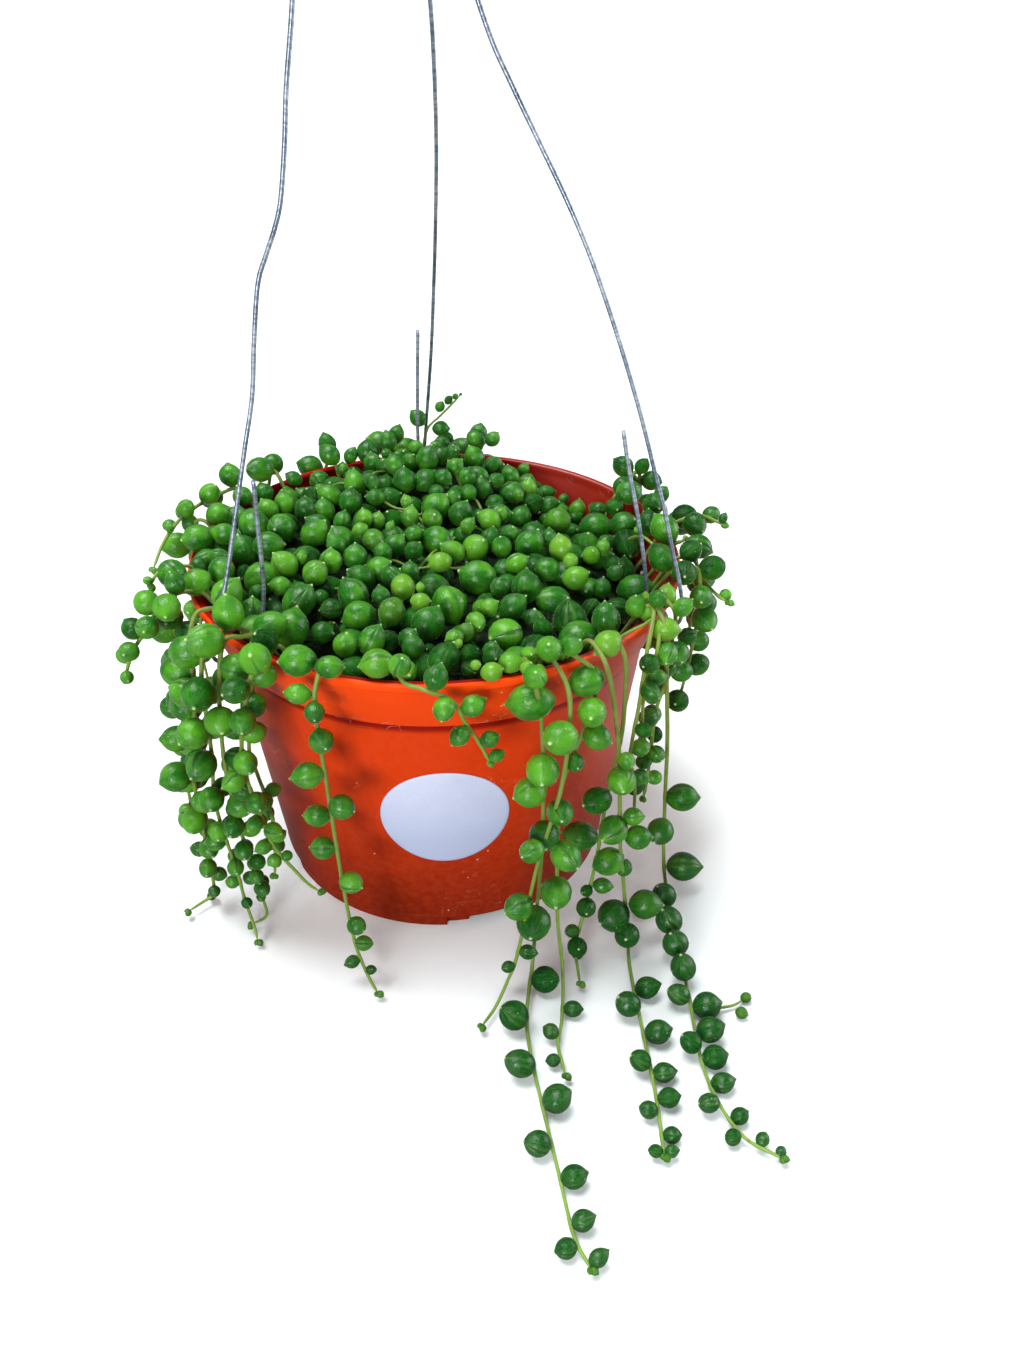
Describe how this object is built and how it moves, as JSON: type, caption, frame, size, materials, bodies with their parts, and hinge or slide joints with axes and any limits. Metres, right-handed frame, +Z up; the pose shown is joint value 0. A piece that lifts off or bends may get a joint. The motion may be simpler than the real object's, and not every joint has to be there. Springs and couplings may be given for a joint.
{
  "type": "potted string of pearls",
  "caption": "Trailing succulent with pea-shaped leaves in a tapered round plastic nursery pot, with a wire hanger; standing, long stems lying on the surface.",
  "frame": {"origin": "centre of the pot's underside, on the surface it stands on", "axes": "+Z up through the pot and its hanger; the round label faces -Y; +X to the right seen from the front"},
  "size_m": [0.1823, 0.2578, 0.4303],
  "materials": {
    "terracotta_plastic": "satin, lightly scuffed",
    "potting_mix": "rough, crumbly",
    "label_paper": "smooth matte",
    "galvanised_wire": "dull zinc",
    "plant": "smooth waxy leaf"
  },
  "bodies": {
    "root": {"ferrule": "galvanised_wire", "hanger_hook": "galvanised_wire", "label": "label_paper", "pearl_mat": "plant", "pot": "terracotta_plastic", "soil": "potting_mix", "stem_front_fork": "plant", "stem_front_left": "plant", "stem_front_long": "plant", "stem_front_short": "plant", "stem_front_side": "plant", "stem_front_thin": "plant", "stem_left_back": "plant", "stem_left_crest": "plant", "stem_left_front": "plant", "stem_left_long": "plant", "stem_left_main": "plant", "stem_left_mid": "plant", "stem_left_outer": "plant", "stem_right_back_inner": "plant", "stem_right_corner": "plant", "stem_right_crest": "plant", "stem_right_front": "plant", "stem_right_long": "plant", "stem_right_rim": "plant", "stem_right_side": "plant", "stem_right_twig": "plant", "stem_unseen_1": "plant", "stem_unseen_2": "plant", "stem_unseen_3": "plant", "stem_unseen_4": "plant", "stem_unseen_5": "plant", "stem_unseen_6": "plant", "wire_back": "galvanised_wire", "wire_left": "galvanised_wire", "wire_right": "galvanised_wire"}
  },
  "joints": []
}
